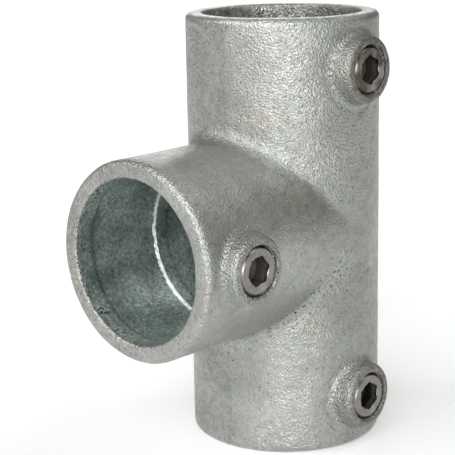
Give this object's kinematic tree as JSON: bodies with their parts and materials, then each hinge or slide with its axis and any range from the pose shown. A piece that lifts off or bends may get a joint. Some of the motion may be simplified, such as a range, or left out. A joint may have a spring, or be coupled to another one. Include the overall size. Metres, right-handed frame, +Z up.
{
  "type": "tube clamp tee fitting",
  "caption": "Galvanised cast tee that clamps a branch tube square to a through run tube, with a hexagon-socket set screw in a raised boss at each mouth.",
  "frame": {"origin": "where the axis of the through run crosses the axis of the branch", "axes": "+Z up the run, which stands on its lower mouth; the branch opens towards -X; the three set screws are driven from the -Y side"},
  "size_m": [0.097, 0.0645, 0.134],
  "materials": {
    "galvanised_iron": "hot-dip galvanised, as cast",
    "plated_steel": "zinc plated, satin"
  },
  "bodies": {
    "fitting": {"tee_body": "galvanised_iron"},
    "upper_screw": {"upper_set_screw": "plated_steel"},
    "branch_screw": {"branch_set_screw": "plated_steel"},
    "lower_screw": {"lower_set_screw": "plated_steel"}
  },
  "joints": [
    {"name": "upper_screw_drive", "type": "slide", "parent": "fitting", "child": "upper_screw", "axis": [0, -1, 0], "range_m": [-0.00267, 0.00401]},
    {"name": "branch_screw_drive", "type": "slide", "parent": "fitting", "child": "branch_screw", "axis": [0, -1, 0], "range_m": [-0.00267, 0.00401]},
    {"name": "lower_screw_drive", "type": "slide", "parent": "fitting", "child": "lower_screw", "axis": [0, -1, 0], "range_m": [-0.00267, 0.00401]}
  ]
}
